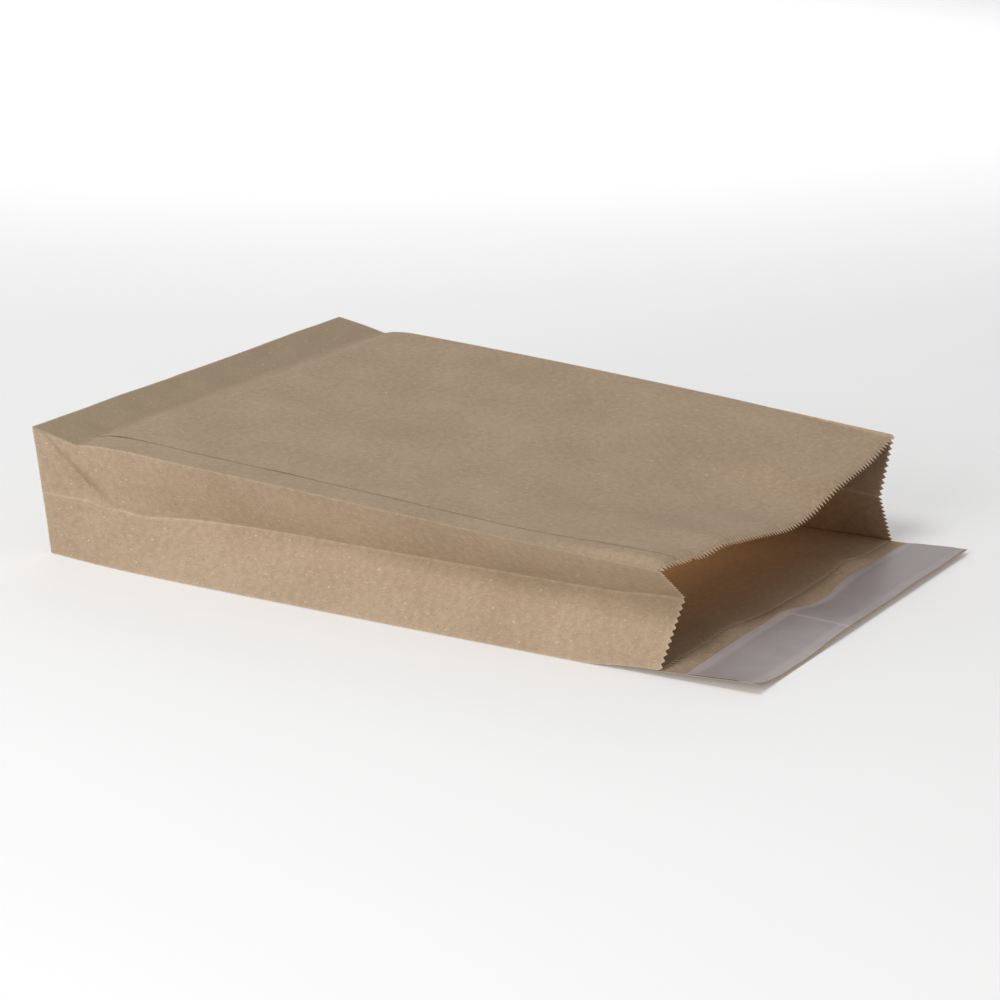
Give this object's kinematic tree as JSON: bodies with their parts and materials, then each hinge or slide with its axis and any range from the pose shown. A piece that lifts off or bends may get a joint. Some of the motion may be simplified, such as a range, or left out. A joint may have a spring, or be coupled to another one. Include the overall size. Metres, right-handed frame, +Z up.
{
  "type": "paper mailer bag",
  "caption": "Kraft paper mailer bag with folding side gussets, a glued block bottom, a serrated mouth and an adhesive sealing flap under a release liner.",
  "frame": {"origin": "middle of the part's box, on the surface that the bag lies on", "axes": "+Y runs along the bag from its mouth to its block bottom, +X across it from the side with the glued seam to the other side, +Z up from the back panel"},
  "size_m": [0.3074, 0.4408, 0.0865],
  "materials": {
    "kraft_paper": "matte recycled kraft with pale fibres and dark specks",
    "hot_melt": "tacky translucent band",
    "release_paper": "smooth siliconised paper, slightly glossy"
  },
  "bodies": {
    "root": {"bag_body": "kraft_paper", "closing_flap": "kraft_paper", "adhesive_strip": "hot_melt", "release_liner": "release_paper"}
  },
  "joints": []
}
